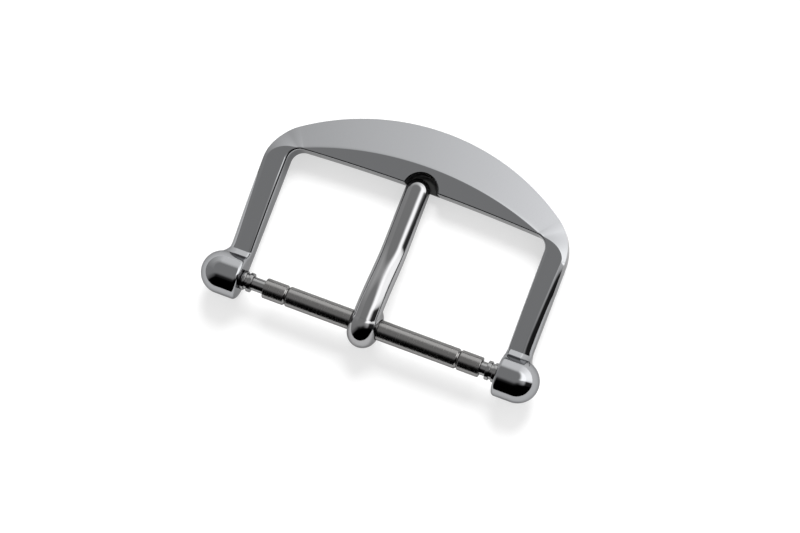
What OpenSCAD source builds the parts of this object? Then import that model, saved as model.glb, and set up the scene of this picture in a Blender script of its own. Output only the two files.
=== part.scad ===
// Watch strap tang buckle in polished steel: a one piece frame, a tongue and a sprung bar.
// X runs along the bar, Y from the bar to the bridge, Z up out of the wrist.
// The origin is on the bar's axis, midway between the two knuckles. Millimetres.

/* [Frame in plan] */
// Gap between the two knuckles, which the end of the strap fills
strap_gap = 18.5; // [16.5:0.1:22]
// From the bar's axis to the front edge of the bridge
bridge_reach = 9.85; // [8.5:0.05:13]
// How much the front edge bows away from the bar at its middle
front_bow = 0.24; // [0:0.02:0.5]
// Front edge to back edge of the bridge, at its middle
bridge_depth = 4.25; // [3:0.05:6]
// Radius of the bridge's back edge
back_radius = 16.3; // [14.5:0.1:24]
// Width of each arm
arm_w = 1.6; // [1.2:0.05:2.4]
// Radius of the outline's two back corners
corner_r = 3.5; // [2.4:0.1:4.4]
// Radius of the opening's two corners
opening_r = 0.9; // [0.5:0.05:1.6]

/* [Frame in height] */
// Height of the flat top above the bar's axis
top_z = 0.45; // [0.2:0.05:0.8]
// Depth of the underside below the bar's axis
under_z = 1.35; // [1.1:0.05:1.6]
// Width of the flat on the bridge, at its middle
bridge_flat = 1.5; // [0.8:0.05:2.2]
// Width of the flat along each arm
arm_flat = 1.05; // [0.7:0.01:1.3]
// Drop of the bridge's sloping face for each millimetre of its width
bridge_pitch = 0.51; // [0.3:0.01:0.54]
// Drop of the arm's rounded outer side, from the flat to its widest line
arm_drop = 0.5; // [0.3:0.05:1]
// How far the top falls along the arm, from the bridge to the knuckle
arm_fall = 0.42; // [0:0.02:0.6]
// Rounding along the top of the bridge's front edge
edge_r = 0.12; // [0.05:0.01:0.2]
// Rounding along the top of each arm's inner edge
arm_edge_r = 0.26; // [0.1:0.01:0.3]
// Rounding along the underside's edges
under_r = 0.22; // [0.1:0.01:0.3]

/* [Knuckles] */
// Radius of the ball ended knuckles
knuckle_r = 1.48; // [1.3:0.02:1.9]
// Straight length of a knuckle before its ball end
knuckle_len = 1.42; // [1:0.02:2]
// Rounding round the knuckle's flat inner face
knuckle_edge = 0.24; // [0.05:0.01:0.3]
// Depth of the blind hole that takes a plunger's tip
socket_depth = 1.05; // [0.9:0.05:1.6]

/* [Notch] */
// Radius of the half round notch that takes the tongue's tip
notch_r = 1.19; // [1.1:0.01:1.6]
// How far the notch reaches into the bridge
notch_depth = 1.04; // [0.8:0.02:1.4]
// Thickness left under the notch
notch_floor = 0.6; // [0.3:0.05:1]
// Chamfer round the notch's upper edge
notch_chamfer = 0.07; // [0.02:0.01:0.12]
// Rounding between the notch's wall and its floor
notch_bowl = 0.38; // [0.05:0.01:0.4]

/* [Tongue] */
// Width of the tongue just before its tip
tip_w = 1.72; // [1.3:0.02:1.9]
// Width of the tongue where it leaves the eye
root_w = 1.86; // [1.5:0.02:2]
// Thickness of the tongue just before its tip
tip_t = 1.07; // [0.8:0.01:1.2]
// Thickness of the tongue where it leaves the eye
root_t = 1.45; // [1.1:0.01:1.6]
// How far the tip's end reaches past the bridge's front edge
tip_reach = 0.67; // [0.4:0.01:0.8]
// Radius of the eye about the bar
eye_r = 1.6; // [1.45:0.02:1.9]
// Width of the eye along the bar
eye_w = 1.96; // [1.7:0.02:2.6]
// Where the tongue has slid to along the bar
tongue_slide = -0.28; // [-0.4:0.01:0.4]

/* [Spring bar] */
// Diameter of the bar's tube
tube_d = 1.4; // [1.2:0.02:1.5]
// Wall of the tube
tube_wall = 0.2; // [0.15:0.01:0.25]
// Gap from the left plunger's flange to the tube, which the plunger can be pressed in by
left_gap = 0.91; // [0.4:0.01:1]
// Gap from the right plunger's flange to the tube
right_gap = 0.43; // [0.4:0.01:1]
// From each end of the tube to its crimped groove
crimp_inset = 1.6; // [1.4:0.05:1.8]
// Depth of the crimped groove
crimp_depth = 0.1; // [0.06:0.01:0.14]
// Diameter of the tip that sits in a knuckle
tip_d = 0.8; // [0.6:0.02:0.9]
// Length of that tip
tip_len = 0.85; // [0.7:0.05:0.9]
// Diameter of a plunger's two flanges
flange_d = 1.33; // [1.1:0.01:1.36]
// Thickness of the two flanges together, with the groove between them
flange_len = 0.75; // [0.6:0.05:0.9]
// Diameter of the spring's wire
wire_d = 0.14; // [0.1:0.01:0.18]
// Turns of the spring
spring_turns = 24; // [12:1:24]

/* [Clearances] */
// Gap round a tip in its socket
socket_gap = 0.09; // [0.02:0.01:0.1]
// Gap round a plunger in the tube
plunger_gap = 0.03; // [0.02:0.01:0.1]
// Gap round the bar in the tongue's eye
eye_gap = 0.05; // [0.02:0.01:0.1]
// Gap between two faces that rest on each other
rest_gap = 0.03; // [0.02:0.01:0.05]

/* [Hidden] */
round_fn = 96;

// Frame in plan. The back edge is one arc, each outer corner a smaller arc tangent to it.
knuckle_x = strap_gap / 2;
arm_set = 0.02;
arm_in = knuckle_x + arm_set;
arm_out = arm_in + arm_w;
back_y = bridge_reach + bridge_depth;
back_cy = back_y - back_radius;
corner_cx = arm_out - corner_r;
corner_cy = back_cy + sqrt(pow(back_radius - corner_r, 2) - pow(corner_cx, 2));
corner_a = atan2(corner_cy - back_cy, corner_cx);
opening_cx = arm_in - opening_r;
opening_cy = bridge_reach - front_bow - opening_r;
bow_r = (pow(opening_cx, 2) + pow(front_bow, 2)) / (2 * max(front_bow, 0.001));

// Stations of the frame's section: the bridge's half, the corner and the arm.
bridge_n = 18;
corner_n = 22;
arm_n = 12;
flare_n = 18;
flare_start = knuckle_r + 0.75;
arm_end = 0.42 * knuckle_r;
arch_y = 0.75 * bridge_reach;
flare_w = 0.3;
ramp_a = 50;
ramp_low_y = (knuckle_r - (top_z - arm_fall) * cos(ramp_a)) / sin(ramp_a);
ramp_high_y = knuckle_r * sin(ramp_a);
ramp_drop = 0.1;
corner_flat = 0.16;
arm_top_slope = 0.2;
bridge_bulge = 0.03;
arm_bulge = 0.07;
min_slope = 0.15;
slope_n = 8;

// Tongue: its top leaves the eye level, falls in an S curve and lies almost level in the notch.
bore_r = tube_d / 2 + eye_gap;
notch_floor_z = -under_z + notch_floor;
tip_top_z = notch_floor_z + rest_gap + tip_t;
tongue_end = bridge_reach + tip_reach;
stem_start = 0.2;
stem_end = tongue_end - tip_w / 2;
stem_n = 30;
tip_n = 10;
stem_sides = 32;
crown_share = 0.62;
fall_share = 0.76;
fall_from = 0.08;
fall_over = 0.5;
tip_power = 2.15;
eye_crown = 0.525 * eye_w;
eye_overlap = 0.1;

// Spring bar
tube_r = tube_d / 2;
tube_bore_r = tube_r - tube_wall;
crimp_r = tube_bore_r - crimp_depth;
crimp_half = 0.14;
crimp_play = 0.1;
waist_play = 0.02;
shank_play = 0.06;
shank_r = tube_bore_r - plunger_gap;
waist_r = crimp_r - plunger_gap - waist_play;
flange_x = knuckle_x - rest_gap;
neck_x = flange_x - flange_len;
left_end = left_gap - neck_x;
right_end = neck_x - right_gap;
tube_len = right_end - left_end;
shank_x = neck_x - crimp_inset + crimp_half + shank_play;
head_x = min(-left_end, right_end) - crimp_inset - crimp_half - crimp_play;
head_len = 0.5;
groove_len = 0.2;
groove_r = 0.5;
spring_half = head_x - head_len - rest_gap;
coil_r = shank_r - wire_d / 2;
coil_rings = 8;
coil_sides = 6;

function mix(a, b, t) = a + (b - a) * t;
function ease(t) = t <= 0 ? 0 : t >= 1 ? 1 : t * t * (3 - 2 * t);
function on_arc(cx, cy, r, a) = [cx + r * cos(a), cy + r * sin(a)];
function bow_y(x) = bridge_reach - bow_r + sqrt(bow_r * bow_r - x * x);

// The arm's sloping side is a narrow bevel at the corner and widens in even measure down the arm.
function widened(y) = min(max(0, (opening_cy - y) / (opening_cy - 1.35 * flare_start)), 1);
// Height of the top: level over the bridge, and falling along the arm to the knuckle.
function arch(y) = top_z - arm_fall * pow(max(0, arch_y - y) / (arch_y - knuckle_r), 2);
// Height of the ramp that rises from the arm, and touches the knuckle's round.
function ramp(y) = y < ramp_high_y ? sqrt(pow(knuckle_r, 2) - y * y) - 0.02
    : (knuckle_r - y * sin(ramp_a)) / cos(ramp_a);

// Each station is [inner point, outer point, flat width, drop, bulge, height of the top, inner rounding].
bridge_stations = [for (i = [0:bridge_n - 1])
    let (s = i / bridge_n, x = opening_cx * s, a = mix(90, corner_a, s),
         inner = [x, bow_y(x)], outer = on_arc(0, back_cy, back_radius, a),
         flat = mix(corner_flat, bridge_flat, 1 - s * s))
    [inner, outer, flat, bridge_pitch * (norm(outer - inner) - flat), bridge_bulge, top_z, edge_r]];
corner_stations = [for (i = [0:corner_n - 1])
    let (s = i / corner_n, turn = ease((s - 0.25) / 0.75),
         inner = on_arc(opening_cx, opening_cy, opening_r, 90 * (1 - s)),
         outer = on_arc(corner_cx, corner_cy, corner_r, corner_a * (1 - s)),
         flat = mix(corner_flat, arm_w - arm_top_slope, turn))
    [inner, outer, flat, bridge_pitch * (norm(outer - inner) - flat), mix(bridge_bulge, 0, turn),
     top_z, mix(edge_r, arm_edge_r, ease(s))]];
arm_ys = concat(
    [for (i = [0:arm_n - 1]) i / arm_n],
    [for (i = [0:flare_n - 1]) 1 + i / (flare_n - 1)]);
arm_stations = [for (u = arm_ys)
    let (in_y = u < 1 ? mix(opening_cy, flare_start, u) : mix(flare_start, arm_end, u - 1),
         out_y = u < 1 ? mix(corner_cy, flare_start, u) : in_y,
         flare = min(flare_w * pow(max(0, flare_start - in_y), 2), flare_w),
         t = widened(in_y),
         up = u < 1 ? 0 : ease((ramp_low_y - in_y) / (ramp_low_y - ramp_high_y)),
         top = u < 1 ? arch(in_y) : max(arch(in_y), ramp(in_y)))
    [[arm_in, in_y], [arm_out + flare, out_y], mix(arm_w - arm_top_slope, arm_flat, t),
     mix(mix(bridge_pitch * arm_top_slope, arm_drop, t), ramp_drop, up),
     arm_bulge * t * (1 - up), top, arm_edge_r]];
half_stations = concat(bridge_stations, corner_stations, arm_stations);

// One section, from the opening's lower edge over the top to the underside, as [u, z] pairs.
function section(st) =
    let (w = norm(st[1] - st[0]), f = min(st[2], w - min_slope), t = st[5],
         run = w - f, fall = st[3], len = norm([run, fall]),
         r = under_r, e = st[6])
    concat(
        [for (a = [0:45:90]) [r - r * sin(a), -under_z + r - r * cos(a)]],
        [for (a = [0:30:90]) [e - e * cos(a), t - e + e * sin(a)]],
        [for (i = [0:slope_n]) let (s = i / slope_n, b = 4 * s * (1 - s) * st[4])
            [f + run * s + b * fall / len, t - fall * s + b * run / len]],
        [for (a = [0:30:90]) [w - r + r * cos(a), -under_z + r - r * sin(a)]]);
function placed(st, p) =
    let (d = (st[1] - st[0]) / norm(st[1] - st[0]))
    [st[0][0] + d[0] * p[0], st[0][1] + d[1] * p[0], p[1]];
function ring(st) = [for (p = section(st)) placed(st, p)];
function mirrored(r) = [for (p = r) [-p[0], p[1], p[2]]];

// A closed skin through rings that all have the same number of points, with flat ends.
module skin(rings, flip) {
    n = len(rings[0]);
    m = len(rings);
    sides = [for (i = [0:m - 2], j = [0:n - 1]) let (k = (j + 1) % n)
        each [[i * n + j, i * n + k, (i + 1) * n + k], [i * n + j, (i + 1) * n + k, (i + 1) * n + j]]];
    first = [[for (j = [0:n - 1]) n - 1 - j]];
    last = [[for (j = [0:n - 1]) (m - 1) * n + j]];
    faces = concat(sides, first, last);
    turned = [for (f = faces) [for (j = [len(f) - 1:-1:0]) f[j]]];
    polyhedron([for (r = rings) each r], flip ? turned : faces);
}

module along_x(x) {
    translate([x, 0, 0]) rotate([0, 90, 0]) children();
}

module rim() {
    right = [for (st = half_stations) ring(st)];
    left = [for (i = [len(right) - 1:-1:1]) mirrored(right[i])];
    skin(concat(left, right), false);
}

// A knuckle is one turned piece: a flat inner face, a straight length and a ball end.
module knuckle() {
    e = knuckle_edge;
    end = knuckle_len + knuckle_r;
    along_x(knuckle_x) rotate_extrude($fn = round_fn) intersection() {
        square([knuckle_r, end]);
        union() {
            translate([0, e]) square([knuckle_r, max(knuckle_len - e, e)]);
            square([knuckle_r - e, knuckle_len]);
            translate([knuckle_r - e, e]) circle(r = e, $fn = round_fn);
            translate([0, knuckle_len]) circle(r = knuckle_r, $fn = round_fn);
        }
    }
}

module socket() {
    along_x(knuckle_x - 1) cylinder(r = tip_d / 2 + socket_gap, h = socket_depth + 1, $fn = round_fn);
}

module notch() {
    c = notch_chamfer;
    b = notch_bowl;
    bowl = [for (a = [0:15:90]) [notch_r - b + b * sin(a), notch_floor_z + b - b * cos(a)]];
    wide = notch_r + 2 * c;
    translate([0, bridge_reach + notch_depth - notch_r, 0]) rotate_extrude($fn = round_fn) polygon(concat(
        [[0, notch_floor_z]], bowl,
        [[notch_r, top_z - c], [wide, top_z + c], [wide, top_z + 1], [0, top_z + 1]]));
}

module buckle_frame() {
    color("#8f9092") difference() {
        union() {
            rim();
            knuckle();
            mirror([1, 0, 0]) knuckle();
        }
        socket();
        mirror([1, 0, 0]) socket();
        notch();
    }
}

// The stem at a share s of its length: place, height of its top, thickness and section.
function stem_y(s) = mix(stem_start, stem_end, s);
function stem_top(s) =
    mix(tip_top_z, eye_r, 1 - fall_share * ease((s - fall_from) / fall_over) - (1 - fall_share) * s);
function stem_t(s) = mix(root_t, tip_t, ease(s));
function stem_z(s) = stem_top(s) - crown_share * stem_t(s);
function bow_out(c, power) = sign(c) * pow(abs(c), 2 / power);
function stem_ring(y, z, tilt, w, t, power, k) = [for (j = [0:stem_sides - 1])
    let (a = 360 * j / stem_sides, u = k * w / 2 * bow_out(cos(a), power),
         v = k * t * (sin(a) > 0 ? crown_share : 1 - crown_share) * bow_out(sin(a), power))
    [u, y - sin(tilt) * v, z + cos(tilt) * v]];
stem_rings = [for (i = [0:stem_n])
    let (s = i / stem_n, s0 = max(s - 0.01, 0), s1 = min(s + 0.01, 1),
         tilt = atan2(stem_z(s1) - stem_z(s0), stem_y(s1) - stem_y(s0)))
    stem_ring(stem_y(s), stem_z(s), tilt, mix(root_w, tip_w, s), stem_t(s), mix(2, tip_power, s), 1)];
tip_rings = [for (i = [1:tip_n]) let (a = 88 * i / tip_n, y = stem_end + tip_w / 2 * sin(a))
    stem_ring(y, stem_z(1), 0, tip_w, tip_t, mix(tip_power, 2, i / tip_n), cos(a))];

// The eye is a crowned ring: its outer face is part of a fat ring's surface.
module eye() {
    rotate([0, 90, 0]) rotate_extrude($fn = round_fn) intersection() {
        translate([eye_r - eye_crown, 0]) circle(r = eye_crown, $fn = round_fn);
        translate([0, -eye_w / 2]) square([eye_r, eye_w]);
    }
    along_x(-eye_w / 2) cylinder(r = bore_r + eye_overlap, h = eye_w, $fn = round_fn);
}

module tongue() {
    color("#9a9b9d") translate([tongue_slide, 0, 0]) difference() {
        union() {
            skin(concat(stem_rings, tip_rings), false);
            eye();
        }
        along_x(-eye_w) cylinder(r = bore_r, h = 2 * eye_w, $fn = round_fn);
    }
}

// The crimp is rolled in from outside, so it narrows the bore by as much as it dents the wall.
module crimp_groove(x) {
    along_x(x - crimp_half) difference() {
        cylinder(r = tube_r + 1, h = 2 * crimp_half, $fn = round_fn);
        cylinder(r1 = tube_r, r2 = tube_r - crimp_depth, h = crimp_half, $fn = round_fn);
        translate([0, 0, crimp_half])
            cylinder(r1 = tube_r - crimp_depth, r2 = tube_r, h = crimp_half, $fn = round_fn);
    }
}

module crimp_bulge(x) {
    along_x(x - crimp_half) difference() {
        cylinder(r = tube_bore_r + tube_wall / 2, h = 2 * crimp_half, $fn = round_fn);
        cylinder(r1 = tube_bore_r, r2 = crimp_r, h = crimp_half, $fn = round_fn);
        translate([0, 0, crimp_half])
            cylinder(r1 = crimp_r, r2 = tube_bore_r, h = crimp_half, $fn = round_fn);
    }
}

module bar_tube() {
    color("#8a8b8e") {
        difference() {
            along_x(left_end) cylinder(r = tube_r, h = tube_len, $fn = round_fn);
            along_x(left_end - 1) cylinder(r = tube_bore_r, h = tube_len + 2, $fn = round_fn);
            crimp_groove(left_end + crimp_inset);
            crimp_groove(right_end - crimp_inset);
        }
        crimp_bulge(left_end + crimp_inset);
        crimp_bulge(right_end - crimp_inset);
    }
}

// One plunger on the +X side: tip, two flanges, shank, waist through the crimp, and head.
module plunger() {
    rim_len = (flange_len - groove_len) / 2;
    along_x(head_x - head_len) cylinder(r = shank_r, h = head_len, $fn = round_fn);
    along_x(head_x) cylinder(r = waist_r, h = shank_x - head_x, $fn = round_fn);
    along_x(shank_x) cylinder(r = shank_r, h = neck_x - shank_x, $fn = round_fn);
    along_x(neck_x) cylinder(r = flange_d / 2, h = rim_len, $fn = round_fn);
    along_x(neck_x + rim_len) cylinder(r = groove_r, h = groove_len, $fn = round_fn);
    along_x(flange_x - rim_len) cylinder(r = flange_d / 2, h = rim_len, $fn = round_fn);
    along_x(flange_x) cylinder(r = tip_d / 2, h = tip_len - tip_d / 4, $fn = round_fn);
    along_x(flange_x + tip_len - tip_d / 4)
        cylinder(r1 = tip_d / 2, r2 = tip_d / 4, h = tip_d / 4, $fn = round_fn);
}

module left_plunger() {
    color("#a3a4a6") mirror([1, 0, 0]) plunger();
}

module right_plunger() {
    color("#a3a4a6") plunger();
}

// A compression spring: one unbroken wire wound between the two plungers' heads.
module bar_spring() {
    steps = spring_turns * coil_rings;
    half = spring_half - wire_d / 2;
    rise = atan2(2 * half / spring_turns, 360 * PI / 180 * coil_r);
    coil = [for (i = [0:steps]) let (a = 360 * i / coil_rings, x = mix(-half, half, i / steps))
        [for (j = [0:coil_sides - 1]) let (b = 360 * j / coil_sides, r = coil_r + wire_d / 2 * cos(b),
                                           s = wire_d / 2 * sin(b))
            [x + s * cos(rise), r * cos(a) + s * sin(rise) * sin(a), r * sin(a) - s * sin(rise) * cos(a)]]];
    color("#77787a") skin(coil, false);
}

buckle_frame();
tongue();
bar_tube();
left_plunger();
right_plunger();
bar_spring();
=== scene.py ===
"""A watch tang buckle in polished steel on a white table: frame, tongue and spring bar."""

import math

import bpy
from mathutils import Matrix, Vector


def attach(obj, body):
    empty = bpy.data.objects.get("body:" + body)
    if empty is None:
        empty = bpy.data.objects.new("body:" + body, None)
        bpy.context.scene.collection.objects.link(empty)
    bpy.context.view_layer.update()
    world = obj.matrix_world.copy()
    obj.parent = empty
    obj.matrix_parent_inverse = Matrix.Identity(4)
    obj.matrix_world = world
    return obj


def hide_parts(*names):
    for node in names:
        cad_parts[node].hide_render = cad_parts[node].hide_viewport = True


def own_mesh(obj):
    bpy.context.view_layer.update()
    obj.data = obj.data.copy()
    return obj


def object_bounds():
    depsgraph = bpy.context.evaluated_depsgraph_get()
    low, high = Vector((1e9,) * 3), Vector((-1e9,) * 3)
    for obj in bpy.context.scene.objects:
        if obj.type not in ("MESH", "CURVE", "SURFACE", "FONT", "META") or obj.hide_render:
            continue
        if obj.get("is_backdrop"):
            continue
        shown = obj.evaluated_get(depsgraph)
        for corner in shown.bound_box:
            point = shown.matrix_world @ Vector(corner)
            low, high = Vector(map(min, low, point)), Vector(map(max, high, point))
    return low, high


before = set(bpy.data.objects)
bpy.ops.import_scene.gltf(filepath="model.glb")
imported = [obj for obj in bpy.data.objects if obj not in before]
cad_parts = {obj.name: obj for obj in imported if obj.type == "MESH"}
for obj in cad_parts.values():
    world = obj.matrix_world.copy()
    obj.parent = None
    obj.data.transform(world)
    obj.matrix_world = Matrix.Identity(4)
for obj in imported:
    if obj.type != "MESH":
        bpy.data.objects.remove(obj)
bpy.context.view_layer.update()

# Sizes are in millimetres, as on a drawing, and MM turns them to metres. X runs along the bar,
# whose axis is the X axis, Y from the bar to the bridge, and Z up.
MM = 0.001

# Frame in plan
KNUCKLE_X = 9.25  # a knuckle's inner face
ARM_IN = 9.27  # an arm's inner side
ARM_W = 1.6
FRONT_Y = 9.85  # the bridge's inner edge, in the middle
FRONT_BOW = 0.24  # how far that edge bows
BACK_Y = 14.10
BACK_R = 16.3
CORNER_R = 3.5
OPENING_R = 0.9

# Frame in height
TOP_Z = 0.45
UNDER_Z = -1.35
BRIDGE_FLAT = 1.5  # width of the bridge's level strip, in the middle
CORNER_FLAT = 0.16  # and where the corner starts
BRIDGE_PITCH = 0.51  # fall of the bridge's slope for its width
BRIDGE_BULGE = 0.03  # how far that slope swells
ARM_FLAT = 1.05  # width of the arm's top, at the knuckle
ARM_TOP_SLOPE = 0.2  # width of the arm's sloping side, at the corner
ARM_DROP = 0.5  # fall of that side, at the knuckle
ARM_BULGE = 0.07
ARM_FALL = 0.42  # how far the arm's top falls to the knuckle
ARCH_Y = 7.39  # where that fall starts
FLARE = 0.3  # how far the arm widens into the knuckle
FLARE_LEAD = 0.75  # how far before the knuckle's round that starts
EDGE_R = 0.12
ARM_EDGE_R = 0.26
UNDER_R = 0.22
RIDGE_R = 0.02
LEAST_SLOPE = 0.15  # width that the slope keeps at least

# Ramp from an arm up to its knuckle
RAMP_A = 39  # degrees
RAMP_Y = 1.84  # its foot
RAMP_BEND_Y = 1.48  # where it starts to grow steeper
RAMP_MEET_Y = 1.3  # where it runs into the knuckle's round
RAMP_SINK = 0.015  # how far it then lies inside that round
RAMP_DROP = 0.1  # fall of the arm's side there

# Knuckles and notch
KNUCKLE_R = 1.48
KNUCKLE_LEN = 1.42
KNUCKLE_EDGE = 0.24
SOCKET_R = 0.49
SOCKET_DEPTH = 1.05
SOCKET_FROM = 8  # where its cutter starts, clear of the knuckle
NOTCH_R = 1.19
NOTCH_Y = 9.70
NOTCH_FLOOR_Z = -0.75
NOTCH_EDGE = 0.07  # its bevel at the top
NOTCH_BOWL = 0.38  # round between its floor and wall
NOTCH_CLEAR = 0.02  # how far past its wall the milled roughness and the painted shade reach
CUT_OVER = 1  # how far a cutter passes the face that it cuts

# Tongue: its top leaves the eye level, falls in an S curve and lies almost level in the notch.
TONGUE_X = -0.28
TONGUE_END = 10.52
ROOT_W, TIP_W = 1.86, 1.72
ROOT_T, TIP_T = 1.45, 1.07
TIP_TOP_Z = 0.35
STEM_START, STEM_END = 0.2, TONGUE_END - TIP_W / 2
CROWN_SHARE = 0.62  # share of the stem's thickness that lies above its widest line
FALL_SHARE = 0.76  # share of the fall that the S curve takes
FALL_FROM = 0.08  # where the curve starts, as a share of the stem
FALL_OVER = 0.5  # and how much of the stem it takes
ELLIPSE, TIP_POWER = 2, 2.15  # the section's roundness at the root and, squarer, at the tip
TIP_TURN = 89  # the round end stops just short of a point
EYE_R = 1.6
EYE_HALF = 0.98  # half its width
EYE_CROWN = 1.03  # radius of its crowned rim
EYE_BORE_R = 0.75
STEM_BORE_R = EYE_BORE_R + 0.1
BORE_REACH = 2  # how far the bore's cutter goes to each side

# Tube of the spring bar
TUBE_R = 0.7
TUBE_BORE_R = 0.5
TUBE_LEFT = -7.56
TUBE_RIGHT = 8.04
TUBE_EDGE = ((0, 0.06), (0.02, 0.02), (0.07, 0))  # points in from the end and the outside
CRIMP_INSET = 1.6
CRIMP_DEPTH = 0.1
CRIMP_HALF = 0.14  # half the groove's width
# Where the groove's round has its points, as shares of that half width
CRIMP_SHAPE = (-1, -0.75, -0.45, -0.2, 0, 0.2, 0.45, 0.75, 1)

# Plungers, from the head in the tube to the tip in the knuckle: each X is where a length starts.
HEAD_X = 5.22
WAIST_X = 5.72
WAIST_R = 0.35
SHANK_X = 7.07
SHANK_R = 0.47
NECK_X = 8.47  # the inner flange
FLANGE_X = 9.22  # the tip, where the outer flange ends
FLANGE_R = 0.665
FLANGE_W = 0.275
GROOVE_R = 0.56
PLUNGER_EDGE = 0.04
TIP_R = 0.4
TIP_LEN = 0.85
TIP_STRAIGHT = 0.65

# Spring in the tube, and the strokes that shorten its two halves
COIL_R = 0.4
COIL_HALF = 5.2
COIL_TURNS = 12
WIRE_R = 0.07
LEFT_STROKE = 0.85
RIGHT_STROKE = 0.4

# Steps of the meshes
ROUND_N = 128
FINE_N = 96
EDGE_STEP = 15
BOWL_STEP = 10
BALL_STEP = 3
BRIDGE_N = 28
CORNER_N = 40
ARM_N = 24
SLOPE_N = 20
STEM_SIDES = 64
STEM_N = 72
TIP_N = 20
CROWN_N = 24
COIL_STEPS = 12
WIRE_SIDES = 8


def mix(a, b, t):
    return a + (b - a) * t


def ease(t):
    t = min(max(t, 0), 1)
    return t * t * (3 - 2 * t)


def between(a, b, n):
    """The numbers from a to b in n even steps, without b."""
    return [a + (b - a) * i / n for i in range(n)]


def quarter(step=EDGE_STEP):
    """Sine and cosine of each angle of a quarter turn."""
    angles = [math.radians(a) for a in range(0, 91, step)]
    return [(math.sin(a), math.cos(a)) for a in angles]


def on_arc(cx, cy, r, angle):
    a = math.radians(angle)
    return Vector((cx + r * math.cos(a), cy + r * math.sin(a)))


def deselect():
    bpy.ops.object.select_all(action="DESELECT")


def choose(piece):
    """Selects one piece alone and makes it active."""
    deselect()
    piece.select_set(True)
    bpy.context.view_layer.objects.active = piece


def finish(piece, name):
    """Turns a piece drawn in millimetres to metres, with its place in its mesh."""
    choose(piece)
    piece.name = piece.data.name = name
    piece.scale = (MM, MM, MM)
    bpy.ops.object.transform_apply(location=True, rotation=True, scale=True)


def ring_of(points):
    """A flat face on these points, as the start of a drawn bar."""
    deselect()
    bpy.ops.mesh.primitive_circle_add(vertices=len(points), fill_type="NGON")
    piece = bpy.context.object
    for v, p in zip(piece.data.vertices, points):
        v.co = p
    return piece


def draw_bar(rings):
    """A bar whose end face is extruded from one station to the next."""
    piece = ring_of(rings[0])
    here = rings[0]
    for ring in rings[1:]:
        places = {tuple(round(c, 4) for c in p): q for p, q in zip(here, ring)}
        bpy.ops.object.mode_set(mode="EDIT")
        bpy.ops.mesh.extrude_region()
        bpy.ops.object.mode_set(mode="OBJECT")
        for v in piece.data.vertices:
            if v.select:
                v.co = places[tuple(round(c, 4) for c in v.co)]
        here = ring
    bpy.ops.object.mode_set(mode="EDIT")
    bpy.ops.mesh.select_all(action="SELECT")
    bpy.ops.mesh.normals_make_consistent(inside=False)
    bpy.ops.object.mode_set(mode="OBJECT")
    return piece


def turn(profile, axis="X", closed=False, steps=ROUND_N):
    """A turned piece: a profile of (along, radius) pairs spun about the X or the Z axis."""
    deselect()
    bpy.ops.mesh.primitive_circle_add(vertices=len(profile), fill_type="NOTHING")
    piece = bpy.context.object
    for v, (along, r) in zip(piece.data.vertices, profile):
        v.co = (along, r, 0) if axis == "X" else (r, 0, along)
    if closed:
        bpy.ops.object.mode_set(mode="EDIT")
    else:
        # The edge that would close the profile along the axis is taken out.
        ends = {0, len(profile) - 1}
        bpy.ops.object.mode_set(mode="EDIT")
        bpy.ops.mesh.select_all(action="DESELECT")
        bpy.ops.mesh.select_mode(type="EDGE")
        bpy.ops.object.mode_set(mode="OBJECT")
        for e in piece.data.edges:
            e.select = set(e.vertices) == ends
        bpy.ops.object.mode_set(mode="EDIT")
        bpy.ops.mesh.delete(type="EDGE")
        bpy.ops.mesh.select_mode(type="VERT")
    bpy.ops.mesh.select_all(action="SELECT")
    way = (1, 0, 0) if axis == "X" else (0, 0, 1)
    bpy.ops.mesh.spin(steps=steps, angle=2 * math.pi, center=(0, 0, 0), axis=way)
    bpy.ops.mesh.select_all(action="SELECT")
    bpy.ops.mesh.remove_doubles(threshold=0.0005)
    bpy.ops.mesh.normals_make_consistent(inside=False)
    bpy.ops.object.mode_set(mode="OBJECT")
    return piece


def drill(start, end, r):
    """A cutter for a round hole on the bar's axis."""
    return turn([(start, 0), (start, r), (end, r), (end, 0)])


def combine(piece, tool, how):
    """Joins a tool piece to a piece, or cuts it out, and removes the tool."""
    deselect()
    bpy.context.view_layer.objects.active = piece
    step = piece.modifiers.new("combine", "BOOLEAN")
    step.operation = how
    step.solver = "EXACT"
    step.object = tool
    bpy.ops.object.modifier_apply(modifier=step.name)
    bpy.data.objects.remove(tool)


def polish(piece, angle=35):
    """Smooth shading that keeps true edges and leaves the flats flat."""
    choose(piece)
    bpy.ops.object.shade_smooth_by_angle(angle=math.radians(angle))
    step = piece.modifiers.new("flats", "WEIGHTED_NORMAL")
    step.keep_sharp = True
    bpy.ops.object.modifier_apply(modifier=step.name)


# Centres of the frame's arcs, and where its arms start and end
ARM_OUT = ARM_IN + ARM_W
BACK_CY = BACK_Y - BACK_R
CORNER_CX = ARM_OUT - CORNER_R
CORNER_CY = BACK_CY + math.sqrt((BACK_R - CORNER_R) ** 2 - CORNER_CX**2)
CORNER_A = math.degrees(math.atan2(CORNER_CY - BACK_CY, CORNER_CX))
OPENING_CX = ARM_IN - OPENING_R
OPENING_CY = FRONT_Y - FRONT_BOW - OPENING_R
BOW_R = (OPENING_CX**2 + FRONT_BOW**2) / (2 * FRONT_BOW)
FLARE_START = KNUCKLE_R + FLARE_LEAD
SIDE_FULL_Y = 1.35 * FLARE_START  # from here to the knuckle the arm's sloping side has its full width
ARM_END = 0.62  # inside the knuckle

# Stations of the flare: they fall on the ramp's foot, its bend and its end.
FLARE_Y = [
    *between(FLARE_START, RAMP_Y, 6),
    *between(RAMP_Y, RAMP_BEND_Y, 4),
    *between(RAMP_BEND_Y, RAMP_MEET_Y, 8),
    *between(RAMP_MEET_Y, ARM_END, 6),
    ARM_END,
]


def pitched(inner, outer, flat):
    """Drop of the bridge's slope, which has the same pitch all along."""
    return BRIDGE_PITCH * ((outer - inner).length - flat)


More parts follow.
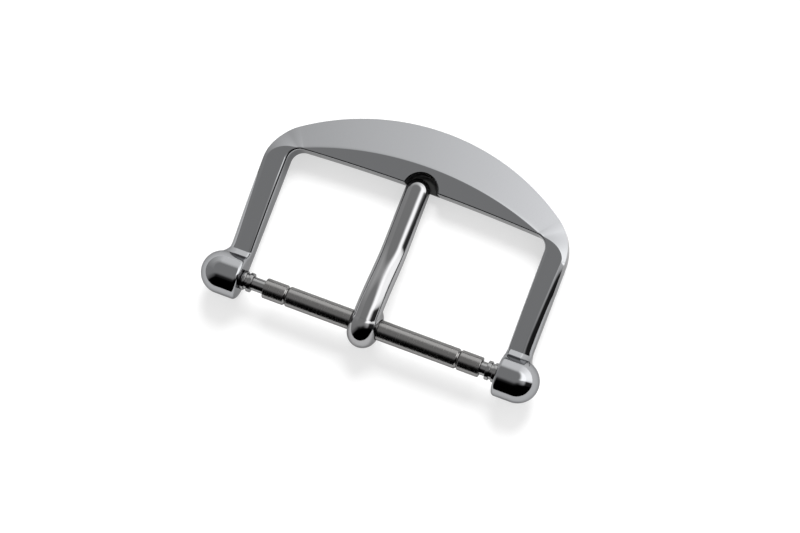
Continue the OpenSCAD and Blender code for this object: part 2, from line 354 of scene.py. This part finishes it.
def arch(y):
    """Height of the top: level over the bridge, and falling along the arm to the knuckle."""
    return TOP_Z - ARM_FALL * (max(0, ARCH_Y - y) / (ARCH_Y - KNUCKLE_R)) ** 2


def ramp(y):
    """Height of the ramp from the arm to the knuckle: even, and then steeper into its round."""
    rise = math.tan(math.radians(RAMP_A))
    if y >= RAMP_BEND_Y:
        return arch(RAMP_Y) + (RAMP_Y - y) * rise
    if y < RAMP_MEET_Y:
        return math.sqrt(KNUCKLE_R**2 - y * y) - RAMP_SINK
    span = RAMP_BEND_Y - RAMP_MEET_Y
    t = (RAMP_BEND_Y - y) / span
    low = ramp(RAMP_BEND_Y)
    high = math.sqrt(KNUCKLE_R**2 - RAMP_MEET_Y**2)
    last = RAMP_MEET_Y / high
    shape = (high - RAMP_SINK - low) * t * t * (3 - 2 * t)
    return low + shape + span * (rise * t * (1 - t) ** 2 - last * t * t * (1 - t))


def arm_side(y):
    """Share of the arm's full sloping side at y, the top's width there and the side's drop."""
    t = min(max(0, (OPENING_CY - y) / (OPENING_CY - SIDE_FULL_Y)), 1)
    flat = mix(ARM_W - ARM_TOP_SLOPE, ARM_FLAT, t)
    return t, flat, mix(BRIDGE_PITCH * ARM_TOP_SLOPE, ARM_DROP, t)


def stations():
    """The right half's sections from the middle of the bridge to inside the knuckle.

    Each is its inner point, outer point, flat width, drop, bulge, top height and edge round.
    """
    rows = []
    for i in range(BRIDGE_N):
        s = i / BRIDGE_N
        x = OPENING_CX * s
        inner = Vector((x, FRONT_Y - BOW_R + math.sqrt(BOW_R**2 - x * x)))
        outer = on_arc(0, BACK_CY, BACK_R, mix(90, CORNER_A, s))
        flat = mix(CORNER_FLAT, BRIDGE_FLAT, 1 - s * s)
        drop = pitched(inner, outer, flat)
        rows.append((inner, outer, flat, drop, BRIDGE_BULGE, TOP_Z, EDGE_R))
    for i in range(CORNER_N):
        s = i / CORNER_N
        inner = on_arc(OPENING_CX, OPENING_CY, OPENING_R, 90 * (1 - s))
        outer = on_arc(CORNER_CX, CORNER_CY, CORNER_R, CORNER_A * (1 - s))
        # The top starts to widen after a quarter of the corner.
        t = ease((s - 0.25) / 0.75)
        edge = mix(EDGE_R, ARM_EDGE_R, ease(s))
        flat = mix(CORNER_FLAT, ARM_W - ARM_TOP_SLOPE, t)
        drop = pitched(inner, outer, flat)
        rows.append((inner, outer, flat, drop, BRIDGE_BULGE * (1 - t), TOP_Z, edge))
    for i in range(ARM_N):
        inner = Vector((ARM_IN, mix(OPENING_CY, FLARE_START, i / ARM_N)))
        outer = Vector((ARM_OUT, mix(CORNER_CY, FLARE_START, i / ARM_N)))
        t, flat, drop = arm_side(inner.y)
        rows.append((inner, outer, flat, drop, ARM_BULGE * t, arch(inner.y), ARM_EDGE_R))
    for y in FLARE_Y:
        flare = min(FLARE * max(0, FLARE_START - y) ** 2, FLARE)
        inner, outer = Vector((ARM_IN, y)), Vector((ARM_OUT + flare, y))
        k, flat, drop = arm_side(y)
        t = ease((RAMP_Y - y) / (RAMP_Y - RAMP_MEET_Y))
        drop = mix(drop, RAMP_DROP, t)
        top = max(arch(y), ramp(y))
        rows.append((inner, outer, flat, drop, ARM_BULGE * k * (1 - t), top, ARM_EDGE_R))
    return rows


def section(row):
    """One section, from the opening over the flat, ridge and slope to the underside."""
    inner, outer, flat, drop, bulge, top, edge = row
    way = outer - inner
    width = way.length
    way.normalize()
    f = min(flat, width - LEAST_SLOPE)
    run = width - f
    length = math.hypot(run, drop)
    low = UNDER_Z + UNDER_R
    points = [(UNDER_R - UNDER_R * s, low - UNDER_R * c) for s, c in quarter()]
    points += [(edge - edge * c, top - edge + edge * s) for s, c in quarter()]
    points += [(f - RIDGE_R, top), (f - RIDGE_R * 0.2, top - RIDGE_R * 0.06)]
    for i in range(1, SLOPE_N + 1):
        s = i / SLOPE_N
        b = 4 * s * (1 - s) * bulge
        points.append((f + run * s + b * drop / length, top - drop * s + b * run / length))
    points += [(width - UNDER_R + UNDER_R * c, low - UNDER_R * s) for s, c in quarter()]
    return [Vector((inner.x + way.x * u, inner.y + way.y * u, z)) for u, z in points]


def make_knuckle(side):
    """A turned knuckle: flat inner face, rounded edge, straight length and ball end."""
    e, centre = KNUCKLE_EDGE, KNUCKLE_X + KNUCKLE_LEN
    profile = [(KNUCKLE_X, 0)]
    profile += [(KNUCKLE_X + e - e * c, KNUCKLE_R - e + e * s) for s, c in quarter()]
    profile += [(centre + KNUCKLE_R * s, KNUCKLE_R * c) for s, c in quarter(BALL_STEP)]
    profile[-1] = (centre + KNUCKLE_R, 0)
    return turn([(side * x, r) for x, r in profile])


def make_notch():
    """A cutter for the notch: flat floor, rounded floor corner, round wall and edge bevel."""
    e, b, wide = NOTCH_EDGE, NOTCH_BOWL, NOTCH_R + 2 * NOTCH_EDGE
    bowl = [(NOTCH_FLOOR_Z + b - b * c, NOTCH_R - b + b * s) for s, c in quarter(BOWL_STEP)]
    profile = [
        (NOTCH_FLOOR_Z, 0),
        *bowl,
        (TOP_Z - e, NOTCH_R),
        (TOP_Z + e, wide),
        (TOP_Z + CUT_OVER, wide),
        (TOP_Z + CUT_OVER, 0),
    ]
    cutter = turn(profile, axis="Z", steps=FINE_N)
    choose(cutter)
    bpy.ops.transform.translate(value=(0, NOTCH_Y, 0))
    bpy.ops.object.transform_apply(location=True, rotation=False, scale=False)
    return cutter


def make_frame():
    half = [section(row) for row in stations()]
    other = [[Vector((-p.x, p.y, p.z)) for p in ring] for ring in half[:0:-1]]
    body = draw_bar(other + half)
    for side in (-1, 1):
        combine(body, make_knuckle(side), "UNION")
        socket_end = KNUCKLE_X + SOCKET_DEPTH
        combine(body, drill(side * SOCKET_FROM, side * socket_end, SOCKET_R), "DIFFERENCE")
    combine(body, make_notch(), "DIFFERENCE")
    polish(body)
    finish(body, "frame_body")
    return body


def stem_y(s):
    return mix(STEM_START, STEM_END, s)


def stem_t(s):
    return mix(ROOT_T, TIP_T, ease(s))


def stem_z(s):
    """Height of the stem's widest line."""
    share = 1 - FALL_SHARE * ease((s - FALL_FROM) / FALL_OVER) - (1 - FALL_SHARE) * s
    return mix(TIP_TOP_Z, EYE_R, share) - CROWN_SHARE * stem_t(s)


def stem_ring(y, z, tilt, width, thick, power, scale=1):
    ring = []
    for j in range(STEM_SIDES):
        a = 2 * math.pi * j / STEM_SIDES
        c, s = math.cos(a), math.sin(a)
        u = scale * width / 2 * math.copysign(abs(c) ** (2 / power), c)
        share = CROWN_SHARE if s > 0 else 1 - CROWN_SHARE
        v = scale * thick * share * math.copysign(abs(s) ** (2 / power), s)
        ring.append(Vector((TONGUE_X + u, y - math.sin(tilt) * v, z + math.cos(tilt) * v)))
    return ring


def make_stem():
    """The tongue without its eye: a bar along the S curve, with a round end."""
    rings = []
    for i in range(STEM_N + 1):
        s = i / STEM_N
        s0, s1 = max(s - 0.01, 0), min(s + 0.01, 1)
        tilt = math.atan2(stem_z(s1) - stem_z(s0), stem_y(s1) - stem_y(s0))
        width, power = mix(ROOT_W, TIP_W, s), mix(ELLIPSE, TIP_POWER, s)
        rings.append(stem_ring(stem_y(s), stem_z(s), tilt, width, stem_t(s), power))
    for i in range(1, TIP_N + 1):
        a = math.radians(TIP_TURN * i / TIP_N)
        y = STEM_END + TIP_W / 2 * math.sin(a)
        power = mix(TIP_POWER, ELLIPSE, i / TIP_N)
        rings.append(stem_ring(y, stem_z(1), 0, TIP_W, TIP_T, power, math.cos(a)))
    return draw_bar(rings)


def make_tongue():
    body = make_stem()
    crown = []
    limit = math.degrees(math.asin(EYE_HALF / EYE_CROWN))
    for i in range(CROWN_N + 1):
        a = math.radians(mix(-limit, limit, i / CROWN_N))
        x, r = EYE_CROWN * math.sin(a), EYE_R - EYE_CROWN + EYE_CROWN * math.cos(a)
        crown.append((TONGUE_X + x, r))
    ends = [(TONGUE_X + EYE_HALF, EYE_BORE_R), (TONGUE_X - EYE_HALF, EYE_BORE_R)]
    eye = turn(crown + ends, closed=True, steps=FINE_N)
    # The stem is bored a little wider than the eye, so that no two faces coincide in the join.
    combine(body, drill(-BORE_REACH, BORE_REACH, STEM_BORE_R), "DIFFERENCE")
    combine(body, eye, "UNION")
    polish(body)
    finish(body, "tongue_body")
    return body


def make_tube():
    """The bar's tube, rolled in at a groove near each end."""
    outside = [(TUBE_LEFT + u, TUBE_R - v) for u, v in TUBE_EDGE]
    inside = [(TUBE_LEFT, TUBE_BORE_R)]
    for x in (TUBE_LEFT + CRIMP_INSET, TUBE_RIGHT - CRIMP_INSET):
        for k in CRIMP_SHAPE:
            dent = CRIMP_DEPTH * (0.5 + 0.5 * math.cos(math.pi * k))
            outside.append((x + CRIMP_HALF * k, TUBE_R - dent))
            inside.append((x + CRIMP_HALF * k, TUBE_BORE_R - dent))
    outside += [(TUBE_RIGHT - u, TUBE_R - v) for u, v in TUBE_EDGE[::-1]]
    inside.append((TUBE_RIGHT, TUBE_BORE_R))
    tube = turn(outside + inside[::-1], closed=True, steps=FINE_N)
    polish(tube)
    finish(tube, "tube_body")
    return tube


def flange(start, end):
    """Profile of one flange, with its edges broken."""
    e, b = PLUNGER_EDGE, PLUNGER_EDGE * 0.3
    return [
        (start, FLANGE_R - e),
        (start + b, FLANGE_R - b),
        (start + e, FLANGE_R),
        (end - e, FLANGE_R),
        (end - b, FLANGE_R - b),
        (end, FLANGE_R - e),
    ]


def make_plunger(side):
    """One plunger: head, waist, shank, two flanges with a groove between, and tip."""
    e = PLUNGER_EDGE
    a, b = NECK_X + FLANGE_W, FLANGE_X - FLANGE_W
    profile = [
        (HEAD_X, 0),
        (HEAD_X, SHANK_R - e),
        (HEAD_X + e, SHANK_R),
        (WAIST_X - e, SHANK_R),
        (WAIST_X, SHANK_R - e),
        (WAIST_X, WAIST_R),
        (SHANK_X, WAIST_R),
        (SHANK_X, SHANK_R - e),
        (SHANK_X + e, SHANK_R),
        (NECK_X, SHANK_R),
        *flange(NECK_X, a),
        (a, GROOVE_R),
        (b, GROOVE_R),
        *flange(b, FLANGE_X),
        (FLANGE_X, TIP_R),
        (FLANGE_X + TIP_STRAIGHT, TIP_R),
        (FLANGE_X + TIP_LEN, TIP_R / 2),
        (FLANGE_X + TIP_LEN, 0),
    ]
    plunger = turn([(side * x, r) for x, r in profile], steps=FINE_N)
    polish(plunger)
    finish(plunger, "left_plunger_body" if side < 0 else "right_plunger_body")
    return plunger


def make_spring(side):
    """Half of the coil spring, from its middle to one end."""
    reach, steps = COIL_HALF - WIRE_R, COIL_TURNS * COIL_STEPS
    rise = math.atan2(reach / COIL_TURNS, 2 * math.pi * COIL_R)
    rings = []
    for i in range(steps + 1):
        a = side * 2 * math.pi * i / COIL_STEPS
        x = side * reach * i / steps
        ring = []
        for j in range(WIRE_SIDES):
            b = 2 * math.pi * j / WIRE_SIDES
            r, s = COIL_R + WIRE_R * math.cos(b), WIRE_R * math.sin(b)
            lean = s * math.sin(rise)
            y = r * math.cos(a) + lean * math.sin(a)
            z = r * math.sin(a) - lean * math.cos(a)
            ring.append(Vector((x + s * math.cos(rise), y, z)))
        rings.append(ring)
    spring = draw_bar(rings)
    polish(spring, 50)
    finish(spring, "left_half_spring" if side < 0 else "right_half_spring")
    return spring


def linear(code):
    """An sRGB hex colour as linear numbers."""
    parts = [int(code[k : k + 2], 16) / 255 for k in (1, 3, 5)]
    return [p / 12.92 if p <= 0.04045 else ((p + 0.055) / 1.055) ** 2.4 for p in parts] + [1]


def add(tree, kind, settings=None, inputs=None):
    """Adds a node, sets its properties, and links outputs or writes values to its inputs."""
    node = tree.nodes.new(kind)
    for key, value in (settings or {}).items():
        setattr(node, key, value)
    for key, value in (inputs or {}).items():
        if isinstance(value, bpy.types.NodeSocket):
            tree.links.new(value, node.inputs[key])
        else:
            node.inputs[key].default_value = value
    return node


def in_notch(tree, where):
    """One inside the notch, and zero elsewhere."""
    place = add(tree, "ShaderNodeSeparateXYZ", inputs={"Vector": where}).outputs
    flat = add(tree, "ShaderNodeCombineXYZ", inputs={"X": place["X"], "Y": place["Y"]})
    ends = {0: flat.outputs["Vector"], 1: (0, NOTCH_Y * MM, 0)}
    reach = add(tree, "ShaderNodeVectorMath", {"operation": "DISTANCE"}, ends).outputs["Value"]
    below = {"operation": "LESS_THAN"}
    near = add(tree, "ShaderNodeMath", below, {0: reach, 1: (NOTCH_R + NOTCH_CLEAR) * MM})
    low = add(tree, "ShaderNodeMath", below, {0: place["Z"], 1: (TOP_Z - NOTCH_EDGE) * MM})
    both = {0: near.outputs[0], 1: low.outputs[0]}
    return add(tree, "ShaderNodeMath", {"operation": "MULTIPLY"}, both).outputs[0]


MILLED_ROUGHNESS = 0.5


def steel(name, colour, roughness, scratch, milled_notch_shade=None):
    """Stainless steel, as smooth as its roughness says, with fine hairlines from wear."""
    material = bpy.data.materials.new(name)
    material.use_nodes = True
    tree = material.node_tree
    shader = tree.nodes["Principled BSDF"]
    shader.inputs["Base Color"].default_value = linear(colour)
    shader.inputs["Metallic"].default_value = 1
    shader.inputs["Specular Tint"].default_value = linear("#b0b0b0")
    where = add(tree, "ShaderNodeTexCoord").outputs["Object"]
    # Hairlines are about 0.02 mm apart on the real steel, and 0.1 mm here so that they show.
    stretched = add(
        tree,
        "ShaderNodeMapping",
        inputs={"Vector": where, "Scale": (9 / MM, 1.4 / MM, 9 / MM), "Rotation": (0, 0, 0.4)},
    )
    hairlines = add(
        tree,
        "ShaderNodeTexNoise",
        inputs={"Vector": stretched.outputs["Vector"], "Scale": 1.0, "Detail": 3.0},
    ).outputs["Fac"]
    # A hand polished face waves slowly, with a few millimetres from crest to crest.
    waves = add(
        tree,
        "ShaderNodeTexNoise",
        inputs={"Vector": where, "Scale": 0.26 / MM, "Detail": 1.0},
    ).outputs["Fac"]
    gloss = add(
        tree,
        "ShaderNodeMapRange",
        inputs={
            "Value": hairlines,
            "From Min": 0.3,
            "From Max": 0.7,
            "To Min": roughness * 0.8,
            "To Max": roughness * 1.3,
        },
    ).outputs["Result"]
    if milled_notch_shade:
        # The notch is milled and not polished, so it is dull; its darker colour is painted shade for
        # the recess.
        share = in_notch(tree, where)
        gloss = add(
            tree,
            "ShaderNodeMix",
            {"data_type": "FLOAT"},
            {"Factor": share, 2: gloss, 3: MILLED_ROUGHNESS},
        ).outputs[0]
        notch_shade_tone = add(
            tree,
            "ShaderNodeMix",
            {"data_type": "RGBA"},
            {"Factor": share, 6: linear(colour), 7: linear(milled_notch_shade)},
        )
        tree.links.new(notch_shade_tone.outputs[2], shader.inputs["Base Color"])
    tree.links.new(gloss, shader.inputs["Roughness"])
    fine = add(
        tree,
        "ShaderNodeBump",
        inputs={"Height": hairlines, "Strength": scratch, "Distance": 0.01 * MM},
    ).outputs["Normal"]
    slow = add(
        tree,
        "ShaderNodeBump",
        inputs={"Height": waves, "Normal": fine, "Strength": 0.25, "Distance": 0.05 * MM},
    )
    tree.links.new(slow.outputs["Normal"], shader.inputs["Normal"])
    return material


def dress(piece, material, body, slot, *nodes):
    piece.data.materials.clear()
    piece.data.materials.append(material)
    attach(piece, body)
    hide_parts(*nodes)


# Frame and tongue are mirror polished, so they show the studio in hard bands of light and dark.
# The frame's notch gets a milled roughness and a darker colour, which is painted shade for the
# recess.
frame_steel = steel("polished_frame_steel", "#98999b", 0.04, 0.12, milled_notch_shade="#707070")
tongue_steel = steel("polished_tongue_steel", "#9a9a9b", 0.035, 0.12)
# The tube is drawn, the plungers turned and the spring wound from wire. None is polished, so
# their bands are soft and darker.
tube_steel = steel("drawn_tube_steel", "#868584", 0.22, 0.25)
plunger_steel = steel("turned_plunger_steel", "#8e8e8e", 0.16, 0.25)
spring_steel = steel("spring_wire_steel", "#808081", 0.25, 0.3)

dress(make_frame(), frame_steel, "frame", "frame_steel", "buckle_frame")
dress(make_tongue(), tongue_steel, "tongue", "tongue_steel", "tongue")
dress(make_tube(), tube_steel, "bar", "bar_steel", "bar_tube")
dress(make_plunger(-1), plunger_steel, "left_plunger", "plunger_steel", "left_plunger")
dress(make_plunger(1), plunger_steel, "right_plunger", "plunger_steel", "right_plunger")

# Each plunger presses its own half of the spring; both halves are made here, from the middle of the
# bar to each end.
for side, stroke, joint in (
    (-1, LEFT_STROKE, "left_plunger_press"),
    (1, RIGHT_STROKE, "right_plunger_press"),
):
    spring = make_spring(side)
    dress(spring, spring_steel, "bar", "spring_steel", "bar_spring")
    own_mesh(spring)

# Table of matt white paper, which nearly touches the bridge and lies lower under the knuckles
TABLE_TILT = math.radians(3.5)
TABLE_EDGE_Z = -1.37 * MM
TABLE_Z = TABLE_EDGE_Z - BACK_Y * MM * math.tan(TABLE_TILT)
TABLE_GLOW = 0.5
deselect()
bpy.ops.mesh.primitive_plane_add(
    size=3.0,
    location=(0, 0, TABLE_Z),
    rotation=(TABLE_TILT, 0, 0),
)
table = bpy.context.object
table.name = "table_top"
table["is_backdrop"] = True
paper = bpy.data.materials.new("white_table")
paper.use_nodes = True
tree = paper.node_tree
surface = tree.nodes["Principled BSDF"]
surface.inputs["Base Color"].default_value = linear("#bcbcbc")
surface.inputs["Roughness"].default_value = 0.9
surface.inputs["Specular IOR Level"].default_value = 0.0
# It glows a little where it is seen or mirrored, and lights nothing.
path = add(tree, "ShaderNodeLightPath").outputs
shown = path["Is Camera Ray"]
for ray in ("Is Glossy Ray", "Is Transmission Ray"):
    pair = {0: shown, 1: path[ray]}
    shown = add(tree, "ShaderNodeMath", {"operation": "MAXIMUM"}, pair).outputs[0]
glow = add(tree, "ShaderNodeMath", {"operation": "MULTIPLY"}, {0: shown, 1: TABLE_GLOW})
surface.inputs["Emission Color"].default_value = (1, 1, 1, 1)
tree.links.new(glow.outputs[0], surface.inputs["Emission Strength"])
table.data.materials.append(paper)

# Studio round the object, as a light level in each direction: a grey card overhead, walls whose
# level goes by compass direction and is highest at the back right, and a dark room in front.
CARD_LEVEL = 0.48
EVEN_LEVEL = 0.66  # what lights the table, from every direction
MOST = 3  # ramps and sums hold shares of this level, so that none of them passes 1
WAYS = {
    "right": (1, 0, 0),
    "back": (0, 1, 0),
    "up": (0, 0, 1),
    "card": (-0.255, 0.224, 0.94),
    "walls behind": (0.26, 0.97, 0),
    "dark room": (0.35, -0.937, 0),
}
# Place on the compass, as a share of a turn, and level there: the left is at 0 and 1, the front at
# 0.25, the right at 0.5 and the back at 0.75.
WALLS = (
    (0.0, 0.5),
    (0.042, 0.48),
    (0.083, 0.45),
    (0.125, 0.2),
    (0.167, 0.03),
    (0.5, 0.03),
    (0.526, 0.06),
    (0.537, 1.7),
    (0.555, 2.55),
    (0.6, 2.7),
    (0.65, 2.55),
    (0.7, 2.1),
    (0.75, 1.75),
    (0.79, 1.43),
    (0.833, 1.15),
    (0.875, 0.95),
    (0.917, 0.78),
    (0.958, 0.62),
    (1.0, 0.5),
)
# How far a direction points to the dark room, and the share of light that is left there
ROOM = ((0.4, 1), (0.44, 0.8), (0.47, 0.3), (0.5, 0.08), (0.56, 0.03), (0.75, 0.02))

world = bpy.data.worlds.new("studio")
bpy.context.scene.world = world
world.use_nodes = True
tree = world.node_tree
way = add(tree, "ShaderNodeTexCoord").outputs["Generated"]
# How far the way looked in points to each of these, from -1 to 1
toward = {}
for name, direction in WAYS.items():
    node = add(tree, "ShaderNodeVectorMath", {"operation": "DOT_PRODUCT"}, {0: way, 1: direction})
    toward[name] = node.outputs["Value"]
sides = {0: toward["back"], 1: toward["right"]}
turned = add(tree, "ShaderNodeMath", {"operation": "ARCTAN2"}, sides)
compass = add(
    tree,
    "ShaderNodeMapRange",
    inputs={"Value": turned.outputs[0], "From Min": -math.pi, "From Max": math.pi},
).outputs["Result"]
ramps = []
for value, stops, most in ((compass, WALLS, MOST), (toward["dark room"], ROOM, 1)):
    node = add(tree, "ShaderNodeValToRGB", inputs={"Fac": value})
    elements = node.color_ramp.elements
    while len(elements) < len(stops):
        elements.new(0.5)
    for element, (place, level) in zip(elements, stops):
        element.position = place
        element.color = (level / most, level / most, level / most, 1)
    ramps.append(node.outputs["Color"])
walls, room = ramps
# The walls behind grow lighter towards the ceiling.
smooth = {"interpolation_type": "SMOOTHSTEP"}
high = add(
    tree,
    "ShaderNodeMapRange",
    smooth,
    {"Value": toward["up"], "From Min": 0.58, "From Max": 0.78, "To Min": 0.0, "To Max": 0.33},
)
behind = add(
    tree,
    "ShaderNodeMapRange",
    smooth,
    {"Value": toward["walls behind"], "From Min": -0.3, "From Max": 0.3},
)
both = {0: high.outputs["Result"], 1: behind.outputs["Result"]}
lift = add(tree, "ShaderNodeMath", {"operation": "MULTIPLY"}, both).outputs[0]
capped = {"operation": "ADD", "use_clamp": True}
walls = add(tree, "ShaderNodeMath", capped, {0: walls, 1: lift}).outputs[0]
off_card = add(
    tree,
    "ShaderNodeMapRange",
    smooth,
    {"Value": toward["card"], "From Min": 0.745, "From Max": 0.93, "To Min": 1.0, "To Max": 0.0},
).outputs["Result"]
level = add(
    tree,
    "ShaderNodeMix",
    {"data_type": "FLOAT"},
    {"Factor": off_card, 2: CARD_LEVEL / MOST, 3: walls},
).outputs[0]
for share in (room, MOST):
    level = add(tree, "ShaderNodeMath", {"operation": "MULTIPLY"}, {0: level, 1: share}).outputs[0]
# The table is lit evenly from all sides, so that only the key lamp gives it a long shadow.
diffuse = add(tree, "ShaderNodeLightPath").outputs["Is Diffuse Ray"]
level = add(
    tree,
    "ShaderNodeMix",
    {"data_type": "FLOAT"},
    {"Factor": diffuse, 2: level, 3: EVEN_LEVEL},
).outputs[0]
background = tree.nodes["Background"]
background.inputs["Color"].default_value = (1, 1, 1, 1)
tree.links.new(level, background.inputs["Strength"])

# Key lamp behind the bridge, halfway up: it lights the table and throws the soft shadow.
KEY_PLACE = (0.0, 0.26, 0.3)
deselect()
bpy.ops.object.light_add(type="AREA", location=KEY_PLACE)
key = bpy.context.object
key.name = "key_lamp"
key.data.shape = "DISK"
key.data.size = 0.2
key.data.energy = 1.9
key.rotation_euler = Vector(KEY_PLACE).to_track_quat("Z", "Y").to_euler()
key.visible_glossy = False

# Camera: a long lens from above, a little to the right and front, and rolled
LOOK_AT = Vector((0.000502, 0.004474, 0))
TOWARDS = Vector((0.18, -0.09, 1)).normalized()
DISTANCE = 0.26
LENS = 175
SENSOR = 36
ROLL = math.radians(20)
right = Vector((math.cos(ROLL), math.sin(ROLL), 0))
right = (right - TOWARDS * right.dot(TOWARDS)).normalized()
up = TOWARDS.cross(right)
deselect()
bpy.ops.object.camera_add(location=LOOK_AT + TOWARDS * DISTANCE)
camera = bpy.context.object
camera.data.lens = LENS
camera.data.sensor_width = SENSOR
camera.data.clip_start = 0.01
camera.data.clip_end = 10
camera.rotation_euler = Matrix((right, up, TOWARDS)).transposed().to_euler()
bpy.context.scene.camera = camera

bpy.context.scene.view_settings.view_transform = "Standard"

low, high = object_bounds()
